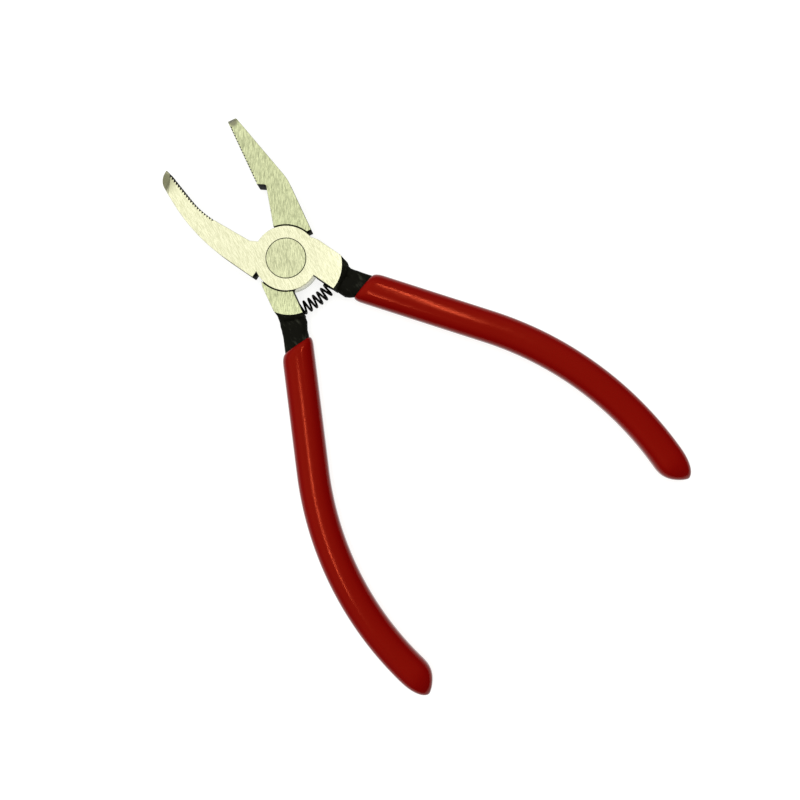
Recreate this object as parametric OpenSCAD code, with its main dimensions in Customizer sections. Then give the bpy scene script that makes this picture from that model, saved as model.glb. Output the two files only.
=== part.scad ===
// Breaker-grozer pliers for stained glass: a flat jaw and a curved jaw on two forged levers,
// lapped at one large rivet, with a coil return spring and dipped vinyl grips.
// Millimetres. The pivot is the Z axis, the underside of the joint is Z = 0 and the jaws point to +Y.
// Both levers are drawn closed, with the tool's centre line on Y, and are then swung open.

/* [Joint] */
// Thickness of the joint and of both jaws, along the pivot
joint_t = 10; // [8:0.5:12.5]
// Radius of the round boss that each lever has at the pivot
boss_r = 10.85; // [9:0.05:13.5]
// Radial gap between one lever's boss and the other lever's shoulder
shoulder_gap = 0.4; // [0.2:0.05:0.6]
// Gap between the two lapped faces
lap_gap = 0.04; // [0.02:0.01:0.1]
// Angle between the levers at rest, from closed
open_angle = 30.4; // [20:0.1:36]

/* [Rivet] */
// Diameter of the flush rivet head
rivet_head_d = 13.3; // [11:0.1:16]
// Thickness of the rivet head
rivet_head_t = 2.4; // [1.5:0.1:3]
// Diameter of the rivet shank
rivet_shank_d = 7.5; // [6:0.1:9]
// Diameter of the hammered tail at the underside
rivet_tail_d = 10.4; // [9.2:0.1:12.5]
// Depth of the tail's countersink
rivet_tail_t = 1.6; // [1:0.1:2]
// Radial running clearance of the shank in the upper lever
pivot_clear = 0.04; // [0.02:0.01:0.09]
// Clearance round and under the rivet head
head_clear = 0.08; // [0.03:0.01:0.15]

/* [Jaws] */
// Length of the jaws from the pivot
jaw_len = 49.6; // [40:0.1:60]
// Distance of the flat gripping face from the centre line
face_x = 1.6; // [1:0.1:2.4]
// Width of the flat jaw across its tip
tip_w = 3; // [2.2:0.1:4]
// How far the jaws' outer edges stand out past the boss
jaw_proud = 0.75; // [0.2:0.1:1.2]
// Length of the flat jaw's gripping part, from the tip to the step behind it
bite_len = 23.1; // [19:0.1:28]
// Depth of the step behind the bite
step_depth = 2.7; // [1.5:0.1:3.4]
// Spacing of the teeth
tooth_pitch = 1.04; // [0.8:0.02:1.3]
// Depth of the flat jaw's teeth
tooth_depth = 0.55; // [0.3:0.05:0.7]
// Depth of the curved jaw's teeth
curved_tooth_depth = 0.8; // [0.5:0.05:0.9]
// Plain length between the tip and the first tooth
tooth_lead = 1.9; // [1:0.1:3]
// Depth of the curved jaw's hollow, from its tip line to the bottom
hollow_depth = 5.2; // [3.5:0.1:6.5]

/* [Neck] */
// How far the necks' outer edges stand out past the boss
neck_proud = 0.35; // [0.1:0.05:0.6]
// Distance of the flat lever's inner neck wall from the centre line
flat_neck_x = 2.6; // [2:0.1:3.2]
// Distance of the curved lever's inner neck wall from the centre line
curved_neck_x = 0.6; // [0.4:0.1:1.2]
// How far the forged neck lies below the ground faces
neck_drop = 1.2; // [0.6:0.1:1.6]

/* [Handles] */
// Length of each handle, from below the boss to the end of its grip
handle_len = 144; // [118:1:172]
// Outward angle of the flat lever's handle
flat_splay = 17.9; // [14:0.1:21]
// Outward angle of the curved lever's handle
curved_splay = 16.8; // [14:0.1:21]
// Length of the straight part of the handle
straight_len = 48; // [38:1:55]
// Radius of the flat lever's inward bow
flat_bow_r = 112; // [95:1:142]
// Radius of the curved lever's inward bow
curved_bow_r = 118; // [95:1:142]
// Width of the steel tang inside the grip
tang_w = 8.6; // [7:0.1:9.2]
// Thickness of the steel tang inside the grip
tang_t = 7.2; // [6:0.1:7.6]
// Thickness of the dipped vinyl
coat_t = 1.2; // [0.8:0.1:2]
// Length of vinyl past the end of the tang
coat_end = 5; // [3:0.5:7]
// Slope of the flat lever's dip line across the handle
flat_dip = 28; // [10:1:36]
// Slope of the curved lever's dip line across the handle
curved_dip = 22; // [10:1:36]

/* [Spring] */
// Outside diameter of the return spring
spring_d = 4.8; // [4:0.1:5.6]
// Wire diameter of the return spring
wire_d = 0.8; // [0.5:0.05:0.9]
// Number of turns in the return spring
spring_turns = 10; // [8:1:11]
// Distance of the spring below the boss
spring_drop = 6.2; // [5:0.1:7]
// Depth of the blind hole that seats each end of the spring
pocket_depth = 3; // [2:0.1:3.5]
// Radial clearance of the spring in its blind holes
pocket_clear = 0.25; // [0.15:0.05:0.5]

/* [Hidden] */
$fn = 64;

steel = "#c9cba6";
oxide = "#16160f";
vinyl = "#8c0503";

eps = 0.01;
mid_z = joint_t / 2;
shoulder_r = boss_r + shoulder_gap;
jaw_edge = boss_r + jaw_proud;
neck_edge = boss_r + neck_proud;

// Heights of the two jaws' outer shoulder corners above the pivot
flat_shoulder_y = 5.1;
curved_shoulder_y = 5.6;
// Bend in the flat jaw's back, and the slope and radius of the curved jaw's back
back_bend_y = jaw_len * 0.48;
back_bend_r = 14;
curved_back_angle = 24;
curved_back_r = 62;
nose_r = 4.6;
// Radius of the hollow in the curved jaw, and the angle of its face near the tip
hollow_r = 38;
hollow_angle = 16.5;
throat_angle = 4.5;
// Ground faces: a round pad set off towards the neck, with a forged flank round it
pad_x = 1.8;
pad_y = -(boss_r - 4.6);
pad_r = 12.5;
pad_flank = 1.9;
// Neck blocks: where their outer edges start to narrow, by how much, and their length past the boss
neck_taper = 3.4;
neck_narrow = 1.1;
neck_len = 9;
// Handle path: where it starts, and where it bends outwards
neck_start = boss_r + 2;
bend_start = 5;
bend_len = 5.2;
straight_end = bend_start + bend_len + straight_len;
tang_start = 12;
flat_dip_s = 15.2;
curved_dip_s = 13.7;
section_sides = 24;

// ---------- outlines ----------

function unit(v) = v / norm(v);

// Points of an arc of radius r about c, from angle a0 through sweep degrees
function arc(c, r, a0, sweep, n) =
    [for (i = [0:n]) c + r * [cos(a0 + sweep * i / n), sin(a0 + sweep * i / n)]];

// The round corner at b, between a and c: each is [x, y, radius]
function corner(a, b, c, n = 10) =
    let (p = [b[0], b[1]], u = unit([a[0], a[1]] - p), v = unit([c[0], c[1]] - p))
    let (half = acos(u * v) / 2, start = p + u * b[2] / tan(half), end = p + v * b[2] / tan(half))
    let (centre = p + unit(u + v) * b[2] / sin(half))
    let (a0 = atan2(start[1] - centre[1], start[0] - centre[0]))
    let (a1 = atan2(end[1] - centre[1], end[0] - centre[0]))
    b[2] == 0 ? [p] : arc(centre, b[2], a0, (a1 - a0 + 540) % 360 - 180, n);

// A closed outline through [x, y, radius] corners
function rounded(pts) =
    let (n = len(pts))
    [for (i = [0:n - 1]) each corner(pts[(i + n - 1) % n], pts[i], pts[(i + 1) % n])];

// The hollow of the curved jaw: how far its face lies from the closed flat jaw at height y
hollow_y = jaw_len - (hollow_depth - 0.05) / tan(hollow_angle);
hollow_centre = [
    face_x - hollow_depth + hollow_r * cos((hollow_angle - throat_angle) / 2)
        / cos((hollow_angle + throat_angle) / 2),
    hollow_y - hollow_r * sin((hollow_angle - throat_angle) / 2)
        / cos((hollow_angle + throat_angle) / 2)
];
hollow_top = hollow_centre[1] + hollow_r * sin(hollow_angle);
hollow_low = hollow_centre[1] - hollow_r * sin(throat_angle);
function hollow_x(y) =
    y > hollow_top ? face_x - hollow_depth + (y - hollow_y) * tan(hollow_angle) :
    y < hollow_low ? face_x - hollow_depth + (hollow_y - y) * tan(throat_angle) :
    hollow_centre[0] - sqrt(hollow_r * hollow_r - pow(y - hollow_centre[1], 2));

// Teeth run down from the tip: even points are crests and odd points are roots
function tooth_y(i) = jaw_len - tooth_lead - i * tooth_pitch / 2;
tooth_steps = 2 * floor((bite_len - tooth_lead - 0.4) / tooth_pitch);
flat_teeth = [
    for (i = [0:tooth_steps]) [face_x + (i % 2) * tooth_depth, tooth_y(i)]
];
curved_teeth = [
    for (i = [0:tooth_steps]) [hollow_x(tooth_y(i)) - (i % 2) * curved_tooth_depth, tooth_y(i)]
];

// Throat: where each jaw's inner edge runs into the boss
throat_in_y = boss_r - 0.6;
throat_out_y = boss_r + 2.4;
step_y = jaw_len - bite_len;
hollow_steps = 14;
throat_face = [
    for (i = [1:hollow_steps])
        let (y = tooth_y(tooth_steps) + (throat_out_y - tooth_y(tooth_steps)) * i / hollow_steps)
        [hollow_x(y), y],
    [-0.4, throat_in_y]
];

module flat_jaw_outline() {
    back = rounded([
        [0.4, flat_shoulder_y, 0],
        [0.4, throat_in_y, 0],
        [face_x + step_depth, step_y - 1.5, 0.8],
        [face_x, step_y, 0.2],
        [face_x, tooth_y(tooth_steps), 0]
    ]);
    tip = rounded([
        [face_x, tooth_y(0), 0],
        [face_x, jaw_len, 0.3],
        [face_x + tip_w, jaw_len, 0.6],
        [jaw_edge, back_bend_y, back_bend_r],
        [jaw_edge, flat_shoulder_y, 0.2],
        [0.4, flat_shoulder_y, 0]
    ]);
    teeth_up = [for (i = [tooth_steps - 1:-1:1]) flat_teeth[i]];
    polygon(concat(back, teeth_up, tip));
}

module curved_jaw_outline() {
    nose = rounded([
        [-0.4, curved_shoulder_y, 0],
        [-jaw_edge, curved_shoulder_y, 0.2],
        [-jaw_edge, curved_back_y(), curved_back_r],
        [curved_nose_x, jaw_len, nose_r],
        [face_x - 0.05, jaw_len, 0.3],
        [hollow_x(tooth_y(0)), tooth_y(0), 0]
    ]);
    teeth_down = [for (i = [1:tooth_steps]) curved_teeth[i]];
    polygon(concat(nose, teeth_down, throat_face));
}

// Where the curved jaw's back would meet the tip line, and where it leaves the outer edge
curved_nose_x = face_x - 4.15;
function curved_back_y() = jaw_len - (jaw_edge + curved_nose_x) / tan(curved_back_angle);

module neck_outline(inner_x) {
    polygon([
        [boss_r - 0.2, -3.2], [neck_edge, -5.4],
        [neck_edge, -boss_r - neck_taper], [neck_edge - neck_narrow, -boss_r - neck_len],
        [inner_x, -boss_r - neck_len],
        [inner_x, -boss_r + 2], [boss_r - 4, -3.2]
    ]);
}

// ---------- solids shared by the levers ----------

// Ground pad: full thickness inside pad_r, with a sloping flank down to the forged neck
module ground_pad() {
    translate([pad_x, pad_y, 0]) {
        cylinder(h = neck_drop, r1 = pad_r, r2 = pad_r + pad_flank);
        translate([0, 0, neck_drop]) cylinder(h = joint_t - 2 * neck_drop, r = pad_r + pad_flank);
        translate([0, 0, joint_t - neck_drop]) cylinder(h = neck_drop, r1 = pad_r + pad_flank, r2 = pad_r);
    }
}

// Thickness bevel at a jaw's tip: removes the top and bottom beyond the line through p
module tip_bevel(p, turn, slope) {
    for (flip = [0, 1])
        translate([0, 0, flip * joint_t]) mirror([0, 0, flip])
            translate([p[0], p[1], 0]) rotate([0, 0, turn]) rotate([slope, 0, 0])
                translate([-15, -0.5, -10]) cube([30, 20, 10]);
}

// Space for the other lever's boss: the upper half of the lower lever, or the lower half of the upper one
module shoulder_cut(z0, z1) {
    translate([0, 0, z0]) cylinder(h = z1 - z0, r = shoulder_r);
}

module spring_pocket(wall_x) {
    translate([wall_x + pocket_depth, -(boss_r + spring_drop), mid_z])
        rotate([0, -90, 0]) cylinder(h = pocket_depth + 4, d = spring_d + 2 * pocket_clear);
}

// ---------- handles ----------

function smooth(t) = t <= 0 ? 0 : t >= 1 ? 1 : t * t * (3 - 2 * t);

// A handle's way is [x at its start, outward splay, radius of its bow].
// Its outward heading at distance s along it, in degrees
function heading(s, way) =
    s < straight_end ? way[1] * smooth((s - bend_start) / bend_len)
    : way[1] - (s - straight_end) / way[2] * 180 / PI;

// Point of the handle's centre line at s, found by summing short steps
path_step = 0.5;
function path(way) = [
    for (i = 0, x = way[0], y = -neck_start; i * path_step <= handle_len + 10;
         x = x + path_step * sin(heading((i + 0.5) * path_step, way)),
         y = y - path_step * cos(heading((i + 0.5) * path_step, way)),
         i = i + 1) [x, y]
];
function on_path(line, s) =
    let (k = floor(s / path_step), t = s / path_step - k)
    line[k] * (1 - t) + line[k + 1] * t;

// A ring of the handle: half-width a, half-thickness b, offset sideways, squareness n, sheared by tan_dip
function ring(line, way, s, a, b, offset = 0, n = 3, tan_dip = 0) = [
    for (i = [0:section_sides - 1])
        let (t = 360 * (i + 0.5) / section_sides)
        let (u = sign(cos(t)) * a * pow(abs(cos(t)), 2 / n) + offset)
        let (w = sign(sin(t)) * b * pow(abs(sin(t)), 2 / n))
        let (along = s + (u - offset) * tan_dip, h = heading(s, way))
        let (p = on_path(line, s) + [u * cos(h), u * sin(h)] + (along - s) * [sin(h), -cos(h)])
        [p[0], p[1], mid_z + w]
];

// Side faces between rings, and the end caps, of a solid made of a list of rings
function side_faces(count, n, first = 0) = [
    for (k = [0:count - 2], i = [0:n - 1])
        let (j = (i + 1) % n, lower = first + k * n, upper = lower + n)
        each [[lower + i, upper + i, upper + j], [lower + i, upper + j, lower + j]]
];
function flipped(faces) = [for (f = faces) [f[2], f[1], f[0]]];

module loft(rings) {
    n = len(rings[0]);
    last = (len(rings) - 1) * n;
    polyhedron(
        points = [for (r = rings) each r],
        faces = concat(
            side_faces(len(rings), n),
            [[for (i = [0:n - 1]) i]],
            [[for (i = [n - 1:-1:0]) last + i]]
        )
    );
}

// Stations of the tang along the bow, shared by the tang and the hollow of its grip
tang_end = handle_len - coat_end;
bow_stations = [
    for (i = [0:13]) straight_end + (tang_end - straight_end) * i / 13
];

// Necks: [distance along the handle, sideways offset, half-width, half-thickness]
flat_neck = [
    [0, 0, 4.1, 3.7], [3, 0, 4.15, 3.75], [5.5, 0, 4.35, 3.8], [8, 0.1, 4.6, 3.8],
    [9, 0.17, 4.4, 3.75], [10.4, 0.2, 4.28, 3.7], [tang_start, 0, tang_w / 2, tang_t / 2]
];
curved_neck = [
    [0, 0.1, 4.85, 3.7], [3.6, 0.15, 4.95, 3.75], [5.2, -0.1, 4.7, 3.8], [7, -0.3, 4.6, 3.8],
    [9, -0.5, 4.85, 3.75], [10.4, -0.3, 4.7, 3.7], [tang_start, 0, tang_w / 2, tang_t / 2]
];

function tang_ring(line, way, s) = ring(line, way, s, tang_w / 2, tang_t / 2);

module shank(line, way, neck) {
    loft(concat(
        [for (k = neck) ring(line, way, k[0], k[2], k[3], k[1])],
        [for (s = bow_stations) tang_ring(line, way, s)]
    ));
}

// Dipped vinyl: a skin of coat_t over the tang, closed past its end, with a slanting dip line
grip_a = tang_w / 2 + coat_t;
grip_b = tang_t / 2 + coat_t;
nose_len = 10.5;
nose_lean = 2.1;
// Swelling of the lip behind the dip line: [distance, share of coat_t]
lip = [[0, 0.2], [0.3, 0.5], [0.9, 0.75], [2.2, 0.92], [4, 1]];
module grip(line, way, dip_s, dip) {
    tan_dip = tan(dip);
    nose_start = handle_len - nose_len;
    outer = concat(
        [for (k = lip)
            let (skin = coat_t * k[1])
            ring(line, way, dip_s + k[0], tang_w / 2 + skin, tang_t / 2 + skin, n = 2.8, tan_dip = tan_dip)],
        [for (s = bow_stations) if (s < nose_start) ring(line, way, s, grip_a, grip_b, n = 2.6)],
        [for (i = [0:7])
            let (t = sin(90 * i / 7.4), k = pow(1 - pow(t, 2.8), 0.72))
            ring(line, way, nose_start + nose_len * t, grip_a * k, grip_b * pow(k, 0.9),
                 offset = nose_lean * pow(t, 3.2), n = 2.5)]
    );
    inner = concat(
        [ring(line, way, dip_s, tang_w / 2, tang_t / 2, tan_dip = tan_dip)],
        [for (s = bow_stations) tang_ring(line, way, s)]
    );
    n = section_sides;
    first_in = len(outer) * n;
    last_out = first_in - n;
    last_in = first_in + (len(inner) - 1) * n;
    polyhedron(
        points = [for (r = concat(outer, inner)) each r],
        faces = concat(
            side_faces(len(outer), n),
            [[for (i = [n - 1:-1:0]) last_out + i]],
            flipped(side_faces(len(inner), n, first_in)),
            [[for (i = [0:n - 1]) last_in + i]],
            [for (i = [0:n - 1])
                let (j = (i + 1) % n)
                each [[i, j, first_in + j], [i, first_in + j, first_in + i]]]
        )
    );
}

// ---------- levers in their closed position ----------

flat_x0 = (neck_edge + flat_neck_x) / 2;
curved_x0 = (neck_edge + curved_neck_x) / 2 - 0.45;
flat_way = [flat_x0, flat_splay, flat_bow_r];
curved_way = [curved_x0, curved_splay, curved_bow_r];
flat_line = path(flat_way);
curved_line = path(curved_way);

module flat_lever_closed() {
    tail_z = rivet_tail_t;
    difference() {
        union() {
            cylinder(h = mid_z, r = boss_r);
            difference() {
                union() {
                    difference() {
                        linear_extrude(joint_t) flat_jaw_outline();
                        tip_bevel([face_x, jaw_len - 1], 0, 40);
                    }
                    mirror([1, 0, 0]) intersection() {
                        linear_extrude(joint_t) neck_outline(flat_neck_x);
                        ground_pad();
                    }
                }
                shoulder_cut(mid_z, joint_t + eps);
            }
            mirror([1, 0, 0]) shank(flat_line, flat_way, flat_neck);
        }
        translate([0, 0, -eps]) cylinder(h = mid_z + 2 * eps, d = rivet_shank_d);
        cylinder(h = tail_z, d1 = rivet_tail_d, d2 = rivet_shank_d);
        mirror([1, 0, 0]) spring_pocket(flat_neck_x);
    }
}

module curved_lever_closed() {
    seat_z = joint_t - rivet_head_t - head_clear;
    lap_z = mid_z + lap_gap;
    difference() {
        union() {
            translate([0, 0, lap_z]) cylinder(h = joint_t - lap_z, r = boss_r);
            difference() {
                union() {
                    difference() {
                        linear_extrude(joint_t) curved_jaw_outline();
                        tip_bevel([face_x - 1.1, jaw_len - 2.6], 27, 24);
                    }
                    intersection() {
                        linear_extrude(joint_t) neck_outline(curved_neck_x);
                        ground_pad();
                    }
                }
                shoulder_cut(-eps, lap_z);
            }
            shank(curved_line, curved_way, curved_neck);
        }
        cylinder(h = joint_t, d = rivet_shank_d + 2 * pivot_clear);
        translate([0, 0, seat_z]) cylinder(h = joint_t, d = rivet_head_d + 2 * head_clear);
        spring_pocket(curved_neck_x);
    }
}

// ---------- spring ----------

function turned(p, a) = [p[0] * cos(a) - p[1] * sin(a), p[0] * sin(a) + p[1] * cos(a)];
half_open = open_angle / 2;
seat_y = -(boss_r + spring_drop);
left_seat = turned([-flat_neck_x - pocket_depth, seat_y], -half_open);
left_mouth = turned([-flat_neck_x, seat_y], -half_open);
right_mouth = turned([curved_neck_x, seat_y], half_open);
right_seat = turned([curved_neck_x + pocket_depth, seat_y], half_open);
gap_len = norm(right_mouth - left_mouth);
left_pull = left_mouth + unit(left_mouth - left_seat) * gap_len / 3;
right_pull = right_mouth + unit(right_mouth - right_seat) * gap_len / 3;

// Centre line of the spring: straight in each blind hole, and a free curve between their mouths
function bezier(t) =
    pow(1 - t, 3) * left_mouth + 3 * t * pow(1 - t, 2) * left_pull
    + 3 * t * t * (1 - t) * right_pull + pow(t, 3) * right_mouth;
function spring_line(s) =
    s < pocket_depth ? left_seat + unit(left_mouth - left_seat) * s
    : s > pocket_depth + gap_len ? right_mouth + unit(right_seat - right_mouth) * (s - pocket_depth - gap_len)
    : bezier((s - pocket_depth) / gap_len);

// Distance along the centre line after k turns: the end turns are closed and the others are open
coil_len = gap_len + 2 * pocket_depth - wire_d;
closed_pitch = wire_d * 1.05;
open_pitch = (coil_len - 2 * closed_pitch) / (spring_turns - 2);
function coil_s(k) =
    wire_d / 2 + closed_pitch * min(k, 1) + open_pitch * max(0, min(k, spring_turns - 1) - 1)
    + closed_pitch * max(0, k - spring_turns + 1);

coil_r = (spring_d - wire_d) / 2;
coil_start = 90;
function coil_point(k) =
    let (s = coil_s(k), d = unit(spring_line(s + 0.05) - spring_line(s - 0.05)))
    let (p = spring_line(s), a = coil_start + 360 * k)
    [p[0] - d[1] * coil_r * cos(a), p[1] + d[0] * coil_r * cos(a), mid_z + coil_r * sin(a)];

rings_per_turn = 18;
wire_sides = 8;
function wire_ring(k) =
    let (c = coil_point(k), d = unit(coil_point(k + 0.01) - coil_point(k - 0.01)))
    let (u = unit(cross(d, [0, 0, 1])), v = cross(u, d))
    [for (i = [0:wire_sides - 1])
        let (a = 360 * i / wire_sides) c + (u * cos(a) + v * sin(a)) * wire_d / 2];

module coil_spring() {
    loft([for (i = [rings_per_turn * spring_turns:-1:0]) wire_ring(i / rings_per_turn)]);
}

// ---------- pieces in the rest position ----------

module flat_jaw_lever() {
    color(steel) rotate([0, 0, -half_open]) flat_lever_closed();
}

module curved_jaw_lever() {
    color(steel) rotate([0, 0, half_open]) curved_lever_closed();
}

module pivot_rivet() {
    color(steel) {
        cylinder(h = rivet_tail_t, d1 = rivet_tail_d, d2 = rivet_shank_d);
        cylinder(h = joint_t, d = rivet_shank_d);
        translate([0, 0, joint_t - rivet_head_t]) cylinder(h = rivet_head_t, d = rivet_head_d);
    }
}

module return_spring() {
    color(oxide) coil_spring();
}

module flat_lever_grip() {
    color(vinyl) rotate([0, 0, -half_open]) mirror([1, 0, 0])
        grip(flat_line, flat_way, flat_dip_s, flat_dip);
}

module curved_lever_grip() {
    color(vinyl) rotate([0, 0, half_open]) grip(curved_line, curved_way, curved_dip_s, curved_dip);
}

flat_jaw_lever();
curved_jaw_lever();
pivot_rivet();
return_spring();
flat_lever_grip();
curved_lever_grip();
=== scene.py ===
from math import cos, pi, radians, sin, tan

import bmesh
import bpy
from mathutils import Matrix, Vector


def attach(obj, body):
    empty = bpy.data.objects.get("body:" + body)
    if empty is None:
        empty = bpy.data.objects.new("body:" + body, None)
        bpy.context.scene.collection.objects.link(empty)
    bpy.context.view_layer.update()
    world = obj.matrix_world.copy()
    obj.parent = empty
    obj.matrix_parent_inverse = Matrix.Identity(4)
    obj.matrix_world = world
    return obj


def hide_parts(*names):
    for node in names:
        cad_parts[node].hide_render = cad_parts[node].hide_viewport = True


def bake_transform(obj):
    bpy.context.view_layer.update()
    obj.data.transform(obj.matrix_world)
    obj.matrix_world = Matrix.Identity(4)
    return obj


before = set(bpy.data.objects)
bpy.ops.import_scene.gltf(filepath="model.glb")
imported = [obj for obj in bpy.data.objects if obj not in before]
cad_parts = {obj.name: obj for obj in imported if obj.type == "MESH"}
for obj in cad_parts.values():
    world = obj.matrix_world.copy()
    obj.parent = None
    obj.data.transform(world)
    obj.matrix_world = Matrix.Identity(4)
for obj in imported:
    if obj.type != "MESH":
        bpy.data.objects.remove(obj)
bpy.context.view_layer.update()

MM = 0.001

# ---------------------------------------------------------------------------
# Flat-jaw lever: one drop-forged steel blank, blackened all over, then ground bright on
# its two faces. The jaw, the boss and the neck are one piece with the tang in the grip.
# ---------------------------------------------------------------------------
HALF_OPEN = 15.2          # each lever stands this many degrees from the closed tool
JOINT_T = 10.0            # thickness across the ground faces, mm
BOSS_R = 10.85            # radius of the round boss at the pivot, mm
RIM = 0.10                # width of the broken edge round a ground face, mm
CORNER = 50               # an edge is broken where its faces meet at more than this, degrees
TEETH_X = (-5.2, 2.6)     # the teeth of both jaws lie in this box of the closed tool, mm
TEETH_Y = (26.0, 49.0)
TIP_Y = 40.0              # beyond this line of the closed tool the sloping tip is ground too, mm
SEAT_R = 7.2              # walls nearer the pivot than this are the rivet's seat, mm
BOSS_RIM = 0.12           # a wall this near the boss's radius is the boss's own wall, mm
SHOULDER_X = 8.0          # farther out than this the boss's wall is left black, mm
LEVEL = 0.999             # a face whose normal is more upright than this lies level
STEEL, SKIN, SEAM = 0, 1, 2


def fill(tree, socket, value):
    """Links a socket to another one, or gives it a fixed value."""
    if isinstance(value, bpy.types.NodeSocket):
        tree.links.new(value, socket)
    else:
        socket.default_value = value


def add_node(tree, kind, **values):
    """A new node; values fill its inputs by name, or by number as i0, i1, or set a property."""
    made = tree.nodes.new(kind)
    for key, value in values.items():
        label = key.replace("_", " ")
        if key[0] == "i" and key[1:].isdigit():
            fill(tree, made.inputs[int(key[1:])], value)
        elif label in made.inputs:
            fill(tree, made.inputs[label], value)
        else:
            setattr(made, key, value)
    return made


def calc(tree, operation, *values):
    """The output of a Math node."""
    made = add_node(tree, "ShaderNodeMath", operation=operation)
    for socket, value in zip(made.inputs, values):
        fill(tree, socket, value)
    return made.outputs[0]


def tint(tree, share, low, high):
    """A colour that runs from low to high as share runs from 0 to 1."""
    made = add_node(tree, "ShaderNodeMix", data_type="RGBA")
    for name, value in (("Factor", share), ("A", low), ("B", high)):
        socket = next(s for s in made.inputs if s.name == name and s.enabled)
        fixed_colour = name != "Factor" and not isinstance(value, bpy.types.NodeSocket)
        fill(tree, socket, (*value, 1) if fixed_colour else value)
    return next(s for s in made.outputs if s.enabled)


def new_finish(name):
    """A material, its node tree, its Principled shader and the piece's own coordinates in metres."""
    finish = bpy.data.materials.new(name)
    finish.use_nodes = True
    tree = finish.node_tree
    shader = tree.nodes["Principled BSDF"]
    place = add_node(tree, "ShaderNodeTexCoord").outputs["Object"]
    return finish, tree, shader, place


def grinding_marks():
    """Shader group: long fine strokes left by a grinding belt, cut in one direction."""
    group = bpy.data.node_groups.new("Grinding marks", "ShaderNodeTree")
    face = group.interface
    for name, kind, value in (("Place", "NodeSocketVector", None), ("Angle", "NodeSocketFloat", 0.0),
                              ("Stroke Width", "NodeSocketFloat", 0.09),
                              ("Stroke Length", "NodeSocketFloat", 0.85)):
        socket = face.new_socket(name=name, in_out="INPUT", socket_type=kind)
        if value is not None:
            socket.default_value = value
    for name in ("Strokes", "Cloud", "Nicks"):
        face.new_socket(name=name, in_out="OUTPUT", socket_type="NodeSocketFloat")
    enter = group.nodes.new("NodeGroupInput")
    leave = group.nodes.new("NodeGroupOutput")
    turned = add_node(group, "ShaderNodeVectorRotate", rotation_type="Z_AXIS",
                      Vector=enter.outputs["Place"], Angle=enter.outputs["Angle"]).outputs[0]
    x, y, z = add_node(group, "ShaderNodeSeparateXYZ", i0=turned).outputs

    fine, coarse = (1.0, 1.0, 3.0), (2.2, 1.6, 2.0)
    layers = []
    for width, length, detail in (fine, coarse):
        wide = calc(group, "MULTIPLY", enter.outputs["Stroke Width"], width * MM)
        long = calc(group, "MULTIPLY", enter.outputs["Stroke Length"], length * MM)
        spot = add_node(group, "ShaderNodeCombineXYZ", i0=calc(group, "DIVIDE", x, wide),
                        i1=calc(group, "DIVIDE", y, long), i2=calc(group, "MULTIPLY", z, 300.0))
        layers.append(add_node(group, "ShaderNodeTexNoise", Vector=spot.outputs[0], Scale=0.5,
                               Detail=detail, Roughness=0.62).outputs[0])
    both = calc(group, "ADD", calc(group, "MULTIPLY", layers[0], 0.75),
                calc(group, "MULTIPLY", layers[1], 0.25))
    strokes = add_node(group, "ShaderNodeMapRange", interpolation_type="SMOOTHSTEP", i0=both,
                       i1=0.38, i2=0.62)
    group.links.new(strokes.outputs[0], leave.inputs["Strokes"])

    cloud = add_node(group, "ShaderNodeTexNoise", Vector=enter.outputs["Place"], Scale=130.0, Detail=4.0)
    group.links.new(cloud.outputs[0], leave.inputs["Cloud"])

    nick_spot = add_node(group, "ShaderNodeCombineXYZ", i0=calc(group, "MULTIPLY", x, 2600.0),
                         i1=calc(group, "MULTIPLY", y, 620.0), i2=z)
    nick = add_node(group, "ShaderNodeTexNoise", Vector=nick_spot.outputs[0], Scale=1.0, Detail=2.0)
    deep = add_node(group, "ShaderNodeMapRange", i0=nick.outputs[0], i1=0.69, i2=0.76)
    group.links.new(deep.outputs[0], leave.inputs["Nicks"])
    return group


MARKS = grinding_marks()


def ground_steel(name, angle, light, dark, roughness, tip=None):
    """Belt-ground steel: tinted strokes, small dark nicks and a faint clouding.

    A tip is (x, y, inner radius, outer radius, colour) in mm: the steel is painted darker towards
    that point, a painted shade for a tip that slopes away from the light.
    """
    cloud_share, cloud_shade, cloud_rough = 0.3, 0.86, 0.08
    nick_share, nick_shade = 0.5, 0.42
    finish, tree, shader, place = new_finish(name)
    marks = add_node(tree, "ShaderNodeGroup", node_tree=MARKS)
    tree.links.new(place, marks.inputs["Place"])
    marks.inputs["Angle"].default_value = radians(angle)
    colour = tint(tree, marks.outputs["Strokes"], dark, light)
    colour = tint(tree, calc(tree, "MULTIPLY", marks.outputs["Cloud"], cloud_share), colour,
                  [c * cloud_shade for c in light])
    colour = tint(tree, calc(tree, "MULTIPLY", marks.outputs["Nicks"], nick_share), colour,
                  [c * nick_shade for c in dark])
    # Painted shade: towards the tip the colour runs into a darker one, where the real tip slopes away from
    # the light.
    if tip:
        x, y, inner, outer, dull = tip
        reach = add_node(tree, "ShaderNodeVectorMath", operation="DISTANCE", i0=place)
        reach.inputs[1].default_value = (x * MM, y * MM, JOINT_T * MM)
        tip_shade_share = add_node(tree, "ShaderNodeMapRange", interpolation_type="SMOOTHSTEP",
                          i0=reach.outputs["Value"], i1=inner * MM, i2=outer * MM, i3=1.0, i4=0.0)
        colour = tint(tree, tip_shade_share.outputs[0], colour, dull)
    tree.links.new(colour, shader.inputs["Base Color"])
    rough = calc(tree, "ADD", roughness, calc(tree, "MULTIPLY", marks.outputs["Cloud"], cloud_rough))
    tree.links.new(rough, shader.inputs["Roughness"])
    bump = add_node(tree, "ShaderNodeBump", Strength=0.10, Distance=0.03 * MM,
                    Height=marks.outputs["Strokes"])
    tree.links.new(bump.outputs[0], shader.inputs["Normal"])
    shader.inputs["Metallic"].default_value = 0.9
    return finish


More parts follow.
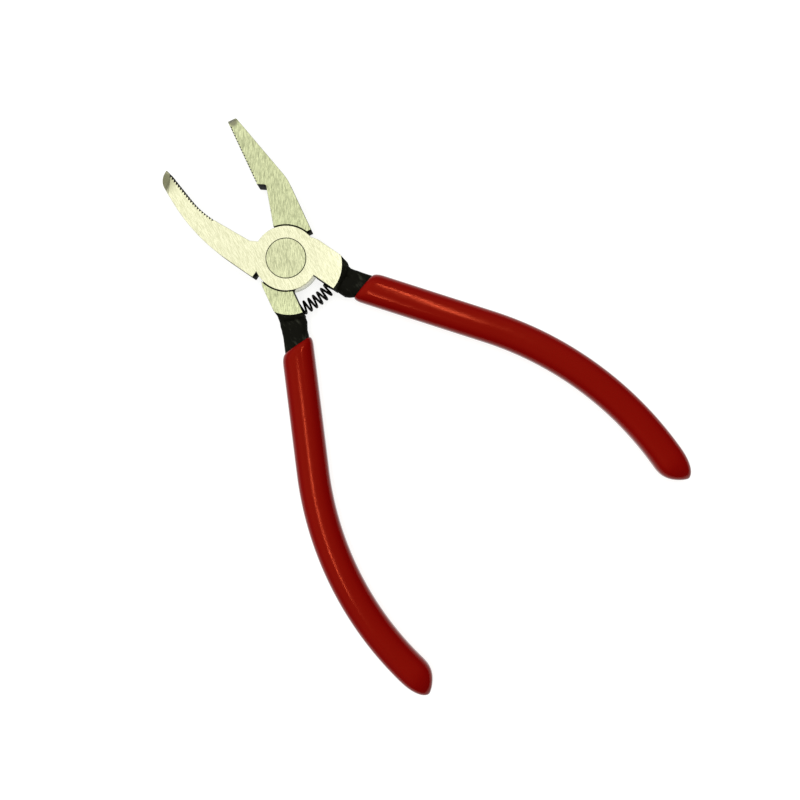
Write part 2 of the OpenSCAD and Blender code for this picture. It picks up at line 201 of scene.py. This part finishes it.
def forged_black():
    """Blackened forging skin: dark, dull and slightly pitted, with grey streaks drawn along it
    that are partly wear from rubbing and partly painted sheen.
    """
    finish, tree, shader, place = new_finish("forged_black")
    pits = add_node(tree, "ShaderNodeTexNoise", Vector=place, Scale=900.0, Detail=5.0,
                    Roughness=0.6).outputs[0]
    # Painted sheen: the grey streaks stand in for the skin's soft shine as well as for wear from rubbing.
    drawn = add_node(tree, "ShaderNodeMapping", Vector=place, Scale=(1.0, 0.28, 1.0)).outputs[0]
    rubs = add_node(tree, "ShaderNodeTexNoise", Vector=drawn, Scale=700.0, Detail=5.0,
                    Roughness=0.65).outputs[0]
    sheen_and_rub_share = add_node(tree, "ShaderNodeMapRange", i0=rubs, i1=0.56, i2=0.74).outputs[0]
    colour = tint(tree, pits, (0.003, 0.003, 0.002), (0.009, 0.009, 0.006))
    colour = tint(tree, sheen_and_rub_share, colour, (0.040, 0.042, 0.030))
    tree.links.new(colour, shader.inputs["Base Color"])
    rough = add_node(tree, "ShaderNodeMapRange", i0=pits, i1=0.3, i2=0.7, i3=0.5, i4=0.72)
    tree.links.new(rough.outputs[0], shader.inputs["Roughness"])
    bump = add_node(tree, "ShaderNodeBump", Strength=0.35, Distance=0.08 * MM, Height=pits)
    tree.links.new(bump.outputs[0], shader.inputs["Normal"])
    shader.inputs["Specular IOR Level"].default_value = 0.015
    return finish


def near_black_joint():
    """A near-black, dull finish for the narrow joints round the rivet, darker than the steel beside them."""
    finish, tree, shader, place = new_finish("near_black_joint")
    spots = add_node(tree, "ShaderNodeTexNoise", Vector=place, Scale=1500.0, Detail=3.0).outputs[0]
    colour = tint(tree, spots, (0.002, 0.002, 0.0015), (0.015, 0.015, 0.010))
    tree.links.new(colour, shader.inputs["Base Color"])
    shader.inputs["Roughness"].default_value = 0.7
    shader.inputs["Specular IOR Level"].default_value = 0.02
    return finish


BLACK = forged_black()
JOINT_BLACK = near_black_joint()
# Painted shade: the flat lever's steel colours are darker than the curved lever's, for its grinding marks
# taking the light at another angle.
# The flat lever's dark tip patch is partly the short bevel's own darker, unground steel and partly painted
# shade of the bevel sloping away from the light.
FLAT_STEEL = ground_steel("ground_steel_flat_lever", 42, (0.485, 0.513, 0.30), (0.215, 0.232, 0.127),
                          0.14, (15.8, 46.0, 0.8, 2.0, (0.16, 0.16, 0.10)))


def mesh_of(shape, name, steel):
    """The finished mesh of a steel piece: ground steel, black skin and near-black seams, in that order."""
    mesh = bpy.data.meshes.new(name)
    shape.to_mesh(mesh)
    shape.free()
    for finish in (steel, BLACK, JOINT_BLACK):
        mesh.materials.append(finish)
    return mesh


def smooth(mesh, sharp_from, flat_level=False):
    """Smooth shading up to an angle in degrees; level faces may be kept truly flat."""
    mesh.shade_smooth()
    mesh.set_sharp_from_angle(angle=radians(sharp_from))
    if flat_level:
        for face in mesh.polygons:
            face.use_smooth = abs(face.normal.z) < LEVEL


def put(name, data):
    """An object at the origin that shows a mesh, a lamp or a camera."""
    made = bpy.data.objects.new(name, data)
    bpy.context.scene.collection.objects.link(made)
    return made


def drop_folded(shape):
    """Removes the slivers that a bevel folds onto themselves where it ends at a sharp corner."""
    bmesh.ops.triangulate(shape, faces=shape.faces)
    bmesh.ops.remove_doubles(shape, verts=shape.verts, dist=1e-7)
    corners = {}
    for face in shape.faces:
        corners.setdefault(frozenset(face.verts), []).append(face)
    folded = [face for pair in corners.values() if len(pair) == 2 for face in pair]
    bmesh.ops.delete(shape, geom=folded, context="FACES")


def forging(node, name, body, steel, turn):
    """The CAD solid of a lever as one clean mesh, with broken edges round its ground faces."""
    shape = bmesh.new()
    shape.from_mesh(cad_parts[node].data)
    bmesh.ops.remove_doubles(shape, verts=shape.verts, dist=0.002 * MM)
    bmesh.ops.dissolve_limit(shape, angle_limit=radians(0.4), verts=shape.verts, edges=shape.edges)
    top = JOINT_T * MM
    back = Matrix.Rotation(radians(-turn), 3, "Z")

    def ground(face):
        off = max(min(abs(v.co.z), abs(v.co.z - top)) for v in face.verts)
        return abs(face.normal.z) > LEVEL and off < 0.005 * MM

    def toothed(point):
        closed = back @ point
        return (TEETH_X[0] * MM < closed.x < TEETH_X[1] * MM
                and TEETH_Y[0] * MM < closed.y < TEETH_Y[1] * MM)

    for face in shape.faces:
        on_tip = (back @ face.calc_center_median()).y > TIP_Y * MM and abs(face.normal.z) > 0.6
        face.material_index = STEEL if ground(face) or on_tip else SKIN
    edges = []
    for edge in shape.edges:
        if len(edge.link_faces) == 2 and edge.calc_face_angle(0) > radians(CORNER):
            one, other = edge.link_faces
            if ground(one) != ground(other) and not all(toothed(v.co) for v in edge.verts):
                edges.append(edge)
    bmesh.ops.bevel(shape, geom=edges, offset=RIM * MM, offset_type="OFFSET", segments=2, profile=0.5,
                    affect="EDGES", clamp_overlap=False, material=STEEL)
    for face in shape.faces:
        centre = face.calc_center_median()
        reach = Vector((centre.x, centre.y)).length
        if reach < SEAT_R * MM and not ground(face):
            face.material_index = SEAM
        elif abs(reach - BOSS_R * MM) < BOSS_RIM * MM and abs(face.normal.z) < 0.1:
            face.material_index = SKIN if abs(centre.x) > SHOULDER_X * MM else STEEL
    drop_folded(shape)
    mesh = mesh_of(shape, name, steel)
    smooth(mesh, 32, flat_level=True)
    piece = put(name, mesh)
    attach(piece, body)
    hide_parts(node)


forging("flat_jaw_lever", "flat_jaw_forging", "flat_lever", FLAT_STEEL, -HALF_OPEN)

# ---------------------------------------------------------------------------
# Pivot rivet: a soft steel rivet with a wide head, sunk flush in the upper lever and ground
# off together with the face. Its tail is hammered into a countersink in the flat-jaw lever.
# ---------------------------------------------------------------------------
HEAD_R = 6.65             # the wide head, flush with the upper lever's face, mm
HEAD_T = 2.4
RING_W, RING_T = 0.16, 0.2    # the rounded edge of the head, finished near-black
SHANK_R = 3.75
TAIL_R = 5.2              # the hammered tail, in its countersink
TAIL_T = 1.6
TAIL_EDGE = 0.08
ROUND = 0.05              # how far the rounded edges drop
RIVET_SIDES = 96
RIVET_STEEL = ground_steel("ground_steel_rivet", 35, (0.51, 0.525, 0.322), (0.25, 0.263, 0.15), 0.16)

# Radius, height in mm, and the finish of the band that starts there, from the head down.
outline = [
    (0, JOINT_T, STEEL),
    (HEAD_R - RING_W, JOINT_T, STEEL),
    (HEAD_R - ROUND, JOINT_T - ROUND, SEAM),
    (HEAD_R, JOINT_T - RING_T, SEAM),
    (HEAD_R, JOINT_T - HEAD_T, SKIN),
    (SHANK_R, JOINT_T - HEAD_T, SKIN),
    (SHANK_R, TAIL_T, SKIN),
    (TAIL_R, ROUND, SKIN),
    (TAIL_R - TAIL_EDGE, 0, STEEL),
    (0, 0, STEEL),
]
shape = bmesh.new()
rings = []
for radius, height, _ in outline:
    if radius == 0:
        rings.append([shape.verts.new((0, 0, height * MM))] * RIVET_SIDES)
    else:
        angles = [2 * pi * i / RIVET_SIDES for i in range(RIVET_SIDES)]
        rings.append([shape.verts.new((radius * cos(a) * MM, radius * sin(a) * MM, height * MM))
                      for a in angles])
for first, second, (_, _, finish_index) in zip(rings, rings[1:], outline):
    for i in range(RIVET_SIDES):
        j = (i + 1) % RIVET_SIDES
        corners = list(dict.fromkeys((first[i], first[j], second[j], second[i])))
        if len(corners) > 2:
            shape.faces.new(corners).material_index = finish_index
bmesh.ops.recalc_face_normals(shape, faces=shape.faces)
mesh = mesh_of(shape, "flush_rivet", RIVET_STEEL)
smooth(mesh, 30, flat_level=True)
rivet = put("flush_rivet", mesh)
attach(rivet, "flat_lever")
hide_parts("pivot_rivet")

# ---------------------------------------------------------------------------
# Curved-jaw lever: the second forging, with the hollow jaw. It laps over the first and turns
# on the rivet. Its steel is painted brighter than the other lever's: painted light for grinding
# marks cut at another angle, which catch the light differently.
# ---------------------------------------------------------------------------
# The curved lever's olive tip patch is painted shade, where its nose slopes away from the light.
CURVED_STEEL = ground_steel("ground_steel_curved_lever", 13, (0.635, 0.63, 0.44), (0.455, 0.455, 0.29),
                            0.12, (-14.5, 46.4, 1.2, 6.2, (0.27, 0.27, 0.16)))
forging("curved_jaw_lever", "curved_jaw_forging", "curved_lever", CURVED_STEEL, HALF_OPEN)

# ---------------------------------------------------------------------------
# Return spring: black oxide spring wire, close at its ends and open between them. It sits in a
# blind hole in each neck and is drawn bent round the pivot, as it lies with the levers open.
# ---------------------------------------------------------------------------
SPRING_R = 2.0            # to the middle of the wire, mm
WIRE_R = 0.4
WIRE_SIDES = 12
SPRING_TURNS = 10
STEPS = 28                # points on one turn
END_PITCH = 2.1           # rise of a closed end turn, in wire radii
POCKET = 3.0              # depth of each blind hole, mm
SEAT_Y = -(BOSS_R + 6.2)
LEFT_X, RIGHT_X = -2.6, 0.6    # mouths of the blind holes in the closed tool, mm


def swung(x, y, degrees):
    """A flat point or direction turned about the pivot."""
    a = radians(degrees)
    return Vector((x * cos(a) - y * sin(a), x * sin(a) + y * cos(a)))


left_seat, left_mouth = swung(LEFT_X - POCKET, SEAT_Y, -HALF_OPEN), swung(LEFT_X, SEAT_Y, -HALF_OPEN)
right_seat, right_mouth = swung(RIGHT_X + POCKET, SEAT_Y, HALF_OPEN), swung(RIGHT_X, SEAT_Y, HALF_OPEN)
left_way = (left_mouth - left_seat).normalized()
right_way = (right_mouth - right_seat).normalized()
gap = (right_mouth - left_mouth).length
left_pull = left_mouth + left_way * gap / 3
right_pull = right_mouth + right_way * gap / 3


def spring_line(s):
    """A point on the spring's centre line, s mm from the bottom of the flat lever's blind hole."""
    if s < POCKET:
        return left_seat + left_way * s
    if s > POCKET + gap:
        return right_mouth - right_way * (s - POCKET - gap)
    t = (s - POCKET) / gap
    return ((1 - t) ** 3 * left_mouth + 3 * t * (1 - t) ** 2 * left_pull
            + 3 * t * t * (1 - t) * right_pull + t ** 3 * right_mouth)


def spring_place(turn):
    """Distance along the centre line after so many turns: end turns closed, the others open."""
    closed = WIRE_R * END_PITCH
    opened = (gap + 2 * POCKET - 2 * WIRE_R - 2 * closed) / (SPRING_TURNS - 2)
    inner = min(max(turn - 1, 0), SPRING_TURNS - 2)
    return WIRE_R + closed * (min(turn, 1) + max(0, turn - SPRING_TURNS + 1)) + opened * inner


def line_mesh(name, points):
    """A chain of edges through the points, for a tree to follow."""
    mesh = bpy.data.meshes.new(name)
    mesh.from_pydata(points, [(i, i + 1) for i in range(len(points) - 1)], [])
    return mesh


def node_tree(name, inputs):
    """A Geometry Nodes tree with a Geometry input and output and the given named inputs."""
    tree = bpy.data.node_groups.new(name, "GeometryNodeTree")
    tree.interface.new_socket(name="Geometry", in_out="INPUT", socket_type="NodeSocketGeometry")
    for label, kind, value in inputs:
        socket = tree.interface.new_socket(name=label, in_out="INPUT", socket_type=kind)
        if value is not None:
            socket.default_value = value
    tree.interface.new_socket(name="Geometry", in_out="OUTPUT", socket_type="NodeSocketGeometry")
    return tree, tree.nodes.new("NodeGroupInput"), tree.nodes.new("NodeGroupOutput")


def vector(tree, operation, *values):
    """The output of a Vector Math node."""
    made = add_node(tree, "ShaderNodeVectorMath", operation=operation)
    for socket, value in zip([s for s in made.inputs if s.enabled], values):
        fill(tree, socket, value)
    return next(s for s in made.outputs if s.enabled)


def scaled(tree, direction, size):
    """A direction made longer or shorter."""
    return add_node(tree, "ShaderNodeVectorMath", operation="SCALE", i0=direction, Scale=size).outputs[0]


def finished(tree, geometry, material, leave):
    """Ends a tree: instances made real, and the material set."""
    real = add_node(tree, "GeometryNodeRealizeInstances", Geometry=geometry)
    coated = add_node(tree, "GeometryNodeSetMaterial", Geometry=real.outputs[0], Material=material)
    tree.links.new(coated.outputs[0], leave.inputs[0])


def grown(name, tree, mesh, values):
    """Runs a tree on a line mesh and returns the result as a plain mesh object at the origin."""
    piece = put(name, mesh)
    modifier = piece.modifiers.new("shape", "NODES")
    modifier.node_group = tree
    for item in tree.interface.items_tree:
        if item.in_out == "INPUT" and item.name in values:
            modifier[item.identifier] = values[item.name]
    graph = bpy.context.evaluated_depsgraph_get()
    graph.update()
    made = bpy.data.meshes.new_from_object(piece.evaluated_get(graph), depsgraph=graph)
    piece.modifiers.remove(modifier)
    shape = bmesh.new()
    shape.from_mesh(made)
    bmesh.ops.remove_doubles(shape, verts=shape.verts, dist=1e-6)
    bmesh.ops.recalc_face_normals(shape, faces=shape.faces)
    shape.to_mesh(made)
    shape.free()
    made.name = name
    piece.data = made
    return piece


def coil_tree():
    """Winds a wire round the line it is given, one step of the turn for each point."""
    tree, enter, leave = node_tree("Wound wire", [
        ("Coil Radius", "NodeSocketFloat", 2.0 * MM), ("Wire Radius", "NodeSocketFloat", 0.4 * MM),
        ("Steps per Turn", "NodeSocketInt", 28), ("Wire Sides", "NodeSocketInt", 12),
        ("Material", "NodeSocketMaterial", None)])
    value = enter.outputs
    line = add_node(tree, "GeometryNodeMeshToCurve", Mesh=value["Geometry"])
    way = tree.nodes.new("GeometryNodeInputTangent").outputs[0]
    side = vector(tree, "NORMALIZE", vector(tree, "CROSS_PRODUCT", (0, 0, 1), way))
    index = tree.nodes.new("GeometryNodeInputIndex").outputs[0]
    angle = calc(tree, "MULTIPLY", calc(tree, "DIVIDE", index, value["Steps per Turn"]), 2 * pi)
    angle = calc(tree, "ADD", angle, pi / 2)
    reach = vector(tree, "ADD", scaled(tree, side, calc(tree, "COSINE", angle)),
                   scaled(tree, (0, 0, 1), calc(tree, "SINE", angle)))
    wound = add_node(tree, "GeometryNodeSetPosition", Geometry=line.outputs[0],
                     Offset=scaled(tree, reach, value["Coil Radius"]))
    ring = add_node(tree, "GeometryNodeCurvePrimitiveCircle", Resolution=value["Wire Sides"],
                    Radius=value["Wire Radius"])
    wire = add_node(tree, "GeometryNodeCurveToMesh", Curve=wound.outputs[0], Profile_Curve=ring.outputs[0])
    wire.inputs["Fill Caps"].default_value = True
    finished(tree, wire.outputs[0], value["Material"], leave)
    return tree


def spring_black():
    """Oil-blackened spring wire with a soft shine."""
    finish, tree, shader, place = new_finish("spring_black")
    spots = add_node(tree, "ShaderNodeTexNoise", Vector=place, Scale=1400.0, Detail=4.0).outputs[0]
    colour = tint(tree, spots, (0.001, 0.001, 0.001), (0.004, 0.004, 0.003))
    tree.links.new(colour, shader.inputs["Base Color"])
    rough = add_node(tree, "ShaderNodeMapRange", i0=spots, i1=0.3, i2=0.7, i3=0.32, i4=0.5)
    tree.links.new(rough.outputs[0], shader.inputs["Roughness"])
    shader.inputs["Specular IOR Level"].default_value = 0.05
    return finish


MIDDLE = JOINT_T / 2 * MM     # the spring and the handles lie at mid-thickness, m
winding = [(*(spring_line(spring_place(i / STEPS)) * MM), MIDDLE) for i in range(STEPS * SPRING_TURNS + 1)]
spring = grown("coil_spring", coil_tree(), line_mesh("coil_line", winding), {
    "Coil Radius": SPRING_R * MM, "Wire Radius": WIRE_R * MM, "Steps per Turn": STEPS,
    "Wire Sides": WIRE_SIDES, "Material": spring_black()})
smooth(spring.data, 50)
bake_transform(spring)
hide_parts("return_spring")

# ---------------------------------------------------------------------------
# Grips: each handle was dipped in liquid vinyl and cured, which leaves one glossy skin with a
# rounded, slanting edge where the dip ended and a thick leaning drop at the handle's end.
# ---------------------------------------------------------------------------
TANG_W, TANG_T = 8.6, 7.2
COAT = 1.2                # thickness of the vinyl, mm
HANDLE_LEN = 144.0
SPLAY_FROM, SPLAY_LEN = 5.0, 5.2    # where a handle turns outwards, mm along it
STRAIGHT_END = 58.2       # from here on a handle bows, mm along it
STEP = 0.5                # spacing of the points on a handle's centre line, mm
LIP_LEN = 3.2             # length of the rounded edge where the dip ended, mm
LIP_CROWD = 1.7           # the rings of the sleeve crowd towards that edge
LIP_RINGS, BODY_RINGS, NOSE_RINGS = 12, 84, 20
SQUARENESS = 2.6          # 2 is a round section, more is squarer
SECTION_POINTS = 64
NOSE_LEN = 10.5
NOSE_LEAN = 2.1           # how far the end drop leans to the tool's outer side, mm


def handle_way(start_x, splay, bow):
    """Points on the handle's centre line, a step apart, in the closed tool."""
    x, y, way = start_x, -(BOSS_R + 2), []
    past_end = 24
    for i in range(int(HANDLE_LEN / STEP) + past_end):
        way.append((x, y))
        s = (i + 0.5) * STEP
        if s < STRAIGHT_END:
            t = min(max((s - SPLAY_FROM) / SPLAY_LEN, 0), 1)
            turn = splay * t * t * (3 - 2 * t)
        else:
            turn = splay - (s - STRAIGHT_END) / bow * 180 / pi
        x, y = x + STEP * sin(radians(turn)), y - STEP * cos(radians(turn))
    return way


def on_way(way, s):
    """The point s mm along a centre line."""
    k = int(s / STEP)
    t = s / STEP - k
    return (way[k][0] * (1 - t) + way[k + 1][0] * t, way[k][1] * (1 - t) + way[k + 1][1] * t)


def sleeve_tree():
    """Sweeps a squarish section along the line it is given: slanting rounded lip, leaning blunt nose."""
    lip_round = 0.42                      # how full the lip's rounding is
    nose_blunt, nose_full = 2.8, 0.72     # how late, and how fully, the nose rounds off
    flat_share = 0.9                      # the nose thins less than it narrows
    lean_late = 3.2                       # how late the nose leans over
    slant_len = 40.0 * MM                 # the lip's slant dies out over this length
    tree, enter, leave = node_tree("Dipped sleeve", [
        ("Half Width", "NodeSocketFloat", 4.3 * MM), ("Half Thickness", "NodeSocketFloat", 3.6 * MM),
        ("Coat", "NodeSocketFloat", 1.2 * MM), ("Squareness", "NodeSocketFloat", 2.6),
        ("Dip Slope", "NodeSocketFloat", 0.5), ("Lip Length", "NodeSocketFloat", 3.2 * MM),
        ("Length", "NodeSocketFloat", 130 * MM), ("Nose Length", "NodeSocketFloat", 10.5 * MM),
        ("Nose Lean", "NodeSocketFloat", 2.1 * MM), ("Outer Side", "NodeSocketFloat", 1.0),
        ("Section Points", "NodeSocketInt", 64), ("Material", "NodeSocketMaterial", None)])
    value = enter.outputs

    # The line, with each point's position, direction and distance kept for the sweep.
    line = add_node(tree, "GeometryNodeMeshToCurve", Mesh=value["Geometry"])
    kept = tree.nodes.new("GeometryNodeCaptureAttribute")
    for label in ("Position", "Way", "Along"):
        kept.capture_items.new("FLOAT" if label == "Along" else "VECTOR", label)
    position = tree.nodes.new("GeometryNodeInputPosition").outputs[0]
    tangent = tree.nodes.new("GeometryNodeInputTangent").outputs[0]
    distance = tree.nodes.new("GeometryNodeSplineParameter").outputs["Length"]
    for socket, source in zip(kept.inputs, (line.outputs[0], position, tangent, distance)):
        tree.links.new(source, socket)
    middle, way, along = kept.outputs[1], kept.outputs[2], kept.outputs[3]

    # The section: a circle squared off, kept as a share across and a share up.
    ring = add_node(tree, "GeometryNodeCurvePrimitiveCircle", Resolution=value["Section Points"], Radius=1.0)
    spot = add_node(tree, "ShaderNodeSeparateXYZ", i0=position)
    power = calc(tree, "DIVIDE", 2.0, value["Squareness"])
    held = tree.nodes.new("GeometryNodeCaptureAttribute")
    for k, label in enumerate(("Across", "Up")):
        size = calc(tree, "POWER", calc(tree, "ABSOLUTE", spot.outputs[k]), power)
        held.capture_items.new("FLOAT", label)
        tree.links.new(calc(tree, "MULTIPLY", calc(tree, "SIGN", spot.outputs[k]), size), held.inputs[k + 1])
    tree.links.new(ring.outputs[0], held.inputs[0])
    across, up = held.outputs[1], held.outputs[2]
    swept = add_node(tree, "GeometryNodeCurveToMesh", Curve=kept.outputs[0], Profile_Curve=held.outputs[0])
    swept.inputs["Fill Caps"].default_value = True

    # The skin swells from nothing at the lip.
    lip = calc(tree, "MINIMUM", calc(tree, "DIVIDE", along, value["Lip Length"]), 1.0)
    lip = calc(tree, "SUBTRACT", 1.0, lip)
    lip = calc(tree, "POWER", calc(tree, "SUBTRACT", 1.0, calc(tree, "MULTIPLY", lip, lip)), lip_round)
    skin = calc(tree, "MULTIPLY", value["Coat"], lip)

    # The nose shuts the sleeve and leans outwards.
    nose_start = calc(tree, "SUBTRACT", value["Length"], value["Nose Length"])
    nose = calc(tree, "DIVIDE", calc(tree, "SUBTRACT", along, nose_start), value["Nose Length"])
    nose = calc(tree, "MINIMUM", calc(tree, "MAXIMUM", nose, 0.0), 1.0)
    shut = calc(tree, "SUBTRACT", 1.0, calc(tree, "POWER", nose, nose_blunt))
    shut = calc(tree, "POWER", shut, nose_full)
    lean = calc(tree, "MULTIPLY", value["Nose Lean"], calc(tree, "POWER", nose, lean_late))

    half_w = calc(tree, "MULTIPLY", calc(tree, "ADD", value["Half Width"], skin), shut)
    half_t = calc(tree, "MULTIPLY", calc(tree, "ADD", value["Half Thickness"], skin),
                  calc(tree, "POWER", shut, flat_share))
    outwards = vector(tree, "NORMALIZE", vector(tree, "CROSS_PRODUCT", way, (0, 0, 1)))
    outwards = scaled(tree, outwards, value["Outer Side"])
    sideways = calc(tree, "MULTIPLY", across, half_w)
    fade = calc(tree, "SUBTRACT", 1.0, calc(tree, "MINIMUM", calc(tree, "DIVIDE", along, slant_len), 1.0))
    slant = calc(tree, "MULTIPLY", calc(tree, "MULTIPLY", sideways, value["Dip Slope"]), fade)
    place = vector(tree, "ADD", middle, scaled(tree, outwards, calc(tree, "ADD", sideways, lean)))
    place = vector(tree, "ADD", place, scaled(tree, way, slant))
    place = vector(tree, "ADD", place, scaled(tree, (0, 0, 1), calc(tree, "MULTIPLY", up, half_t)))
    moved = add_node(tree, "GeometryNodeSetPosition", Geometry=swept.outputs[0], Position=place)
    finished(tree, moved.outputs[0], value["Material"], leave)
    return tree


def dipped_vinyl():
    """Glossy red plastisol: deep colour, slow waves from the dip and a few dull rub marks."""
    finish, tree, shader, place = new_finish("dipped_vinyl")
    clouds = add_node(tree, "ShaderNodeTexNoise", Vector=place, Scale=45.0, Detail=2.0).outputs[0]
    colour = tint(tree, clouds, (0.165, 0.0008, 0.0006), (0.19, 0.0012, 0.0008))
    tree.links.new(colour, shader.inputs["Base Color"])
    rubs = add_node(tree, "ShaderNodeTexNoise", Vector=place, Scale=420.0, Detail=5.0, Roughness=0.7)
    rough = add_node(tree, "ShaderNodeMapRange", i0=rubs.outputs[0], i1=0.45, i2=0.75, i3=0.13, i4=0.19)
    tree.links.new(rough.outputs[0], shader.inputs["Roughness"])
    waves = add_node(tree, "ShaderNodeTexNoise", Vector=place, Scale=110.0, Detail=1.0).outputs[0]
    bump = add_node(tree, "ShaderNodeBump", Strength=0.12, Distance=0.3 * MM, Height=waves)
    tree.links.new(bump.outputs[0], shader.inputs["Normal"])
    shader.inputs["Specular IOR Level"].default_value = 0.28
    shader.inputs["Specular Tint"].default_value = (1.0, 0.15, 0.06, 1.0)
    return finish


SLEEVE = sleeve_tree()
VINYL = dipped_vinyl()


def grip(name, node, body, start_x, splay, bow, dip_at, dip, mirror, turn):
    """One dipped grip on its handle, from the dip line to past the end of the tang."""
    way = handle_way(start_x, splay, bow)
    length = HANDLE_LEN - dip_at
    nose_at = length - NOSE_LEN
    places = [LIP_LEN * (i / LIP_RINGS) ** LIP_CROWD for i in range(LIP_RINGS)]
    places += [LIP_LEN + (nose_at - LIP_LEN) * i / BODY_RINGS for i in range(BODY_RINGS)]
    places += [nose_at + NOSE_LEN * sin(pi / 2 * i / NOSE_RINGS) for i in range(NOSE_RINGS + 1)]
    points = []
    for place in places:
        x, y = on_way(way, dip_at + place)
        points.append((*swung(x * mirror, y, turn) * MM, MIDDLE))
    piece = grown(name, SLEEVE, line_mesh(name + "_line", points), {
        "Half Width": TANG_W / 2 * MM, "Half Thickness": TANG_T / 2 * MM, "Coat": COAT * MM,
        "Squareness": SQUARENESS, "Dip Slope": tan(radians(dip)), "Lip Length": LIP_LEN * MM,
        "Length": length * MM, "Nose Length": NOSE_LEN * MM, "Nose Lean": NOSE_LEAN * MM,
        "Outer Side": -1.0 * mirror, "Section Points": SECTION_POINTS,
        "Material": VINYL})
    smooth(piece.data, 60)
    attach(piece, body)
    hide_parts(node)


grip("flat_side_grip", "flat_lever_grip", "flat_lever", start_x=6.9, splay=17.9, bow=112,
     dip_at=15.2, dip=28, mirror=-1, turn=-HALF_OPEN)
grip("curved_side_grip", "curved_lever_grip", "curved_lever", start_x=5.45, splay=16.8, bow=118,
     dip_at=13.7, dip=22, mirror=1, turn=HALF_OPEN)

# ---------------------------------------------------------------------------
# Studio: a plain pale sheet, a sky that is brightest overhead and on one side, two narrow
# strip lamps that draw the streaks on the grips, and a camera straight above the tool.
# ---------------------------------------------------------------------------
FLOOR_HALF = 3.0          # metres
FLOOR_Z = -0.0001
LAMP_Z = 760              # mm
CAMERA_AT = Vector((-1.5, -60.7, 373.0)) * MM
CAMERA_TURN = -40.2
scene = bpy.context.scene
scene.view_settings.view_transform = "Standard"

paper = bpy.data.materials.new("pale_paper")
paper.use_nodes = True
sheet = paper.node_tree.nodes["Principled BSDF"]
sheet.inputs["Base Color"].default_value = (0.30, 0.30, 0.295, 1)
sheet.inputs["Roughness"].default_value = 0.8
sheet.inputs["Specular IOR Level"].default_value = 0.1
sheet.inputs["Emission Color"].default_value = (1, 1, 0.99, 1)
sheet.inputs["Emission Strength"].default_value = 0.82
mesh = bpy.data.meshes.new("floor")
corners = [(-1, -1), (1, -1), (1, 1), (-1, 1)]
mesh.from_pydata([(x * FLOOR_HALF, y * FLOOR_HALF, FLOOR_Z) for x, y in corners], [], [(0, 1, 2, 3)])
mesh.materials.append(paper)
put("floor", mesh)

world = bpy.data.worlds.new("studio")
scene.world = world
world.use_nodes = True
sky = world.node_tree
background = sky.nodes["Background"]
bright_side = swung(-0.8, 0.6, CAMERA_TURN)
look = add_node(sky, "ShaderNodeTexCoord").outputs["Generated"]
height = add_node(sky, "ShaderNodeSeparateXYZ", i0=look).outputs[2]
share = add_node(sky, "ShaderNodeMapRange", interpolation_type="SMOOTHSTEP", i0=height, i1=0.35, i2=0.99)
glow = tint(sky, share.outputs[0], (0.26, 0.26, 0.25), (1.27, 1.27, 1.25))
sky.links.new(glow, background.inputs["Color"])
toward = add_node(sky, "ShaderNodeVectorMath", operation="DOT_PRODUCT", i0=look)
toward.inputs[1].default_value = (*bright_side, 0)
lift = calc(sky, "ADD", 1.0, calc(sky, "MULTIPLY", toward.outputs["Value"], 1.4))
sky.links.new(calc(sky, "MAXIMUM", lift, 0.3), background.inputs["Strength"])


def strip_lamp(name, right, up, length, width, power):
    """A long narrow lamp, placed right and up as the camera sees it; it shows as a streak on a grip."""
    data = bpy.data.lights.new(name, "AREA")
    data.shape = "RECTANGLE"
    data.size = width * MM
    data.size_y = length * MM
    data.energy = power
    light = put(name, data)
    across = swung(right, up, CAMERA_TURN) * MM
    light.location = (CAMERA_AT.x + across.x, CAMERA_AT.y + across.y, LAMP_Z * MM)
    light.rotation_euler = (0, 0, radians(CAMERA_TURN))


strip_lamp("left_strip", right=-122, up=-105, length=260, width=20, power=0.7)
strip_lamp("right_strip", right=64, up=250, length=300, width=20, power=1.15)

data = bpy.data.cameras.new("camera")
data.lens = 49.0
data.sensor_width = 36.0
data.clip_start = 0.01
camera = put("camera", data)
camera.location = CAMERA_AT
camera.rotation_euler = (0, 0, radians(CAMERA_TURN))
scene.camera = camera
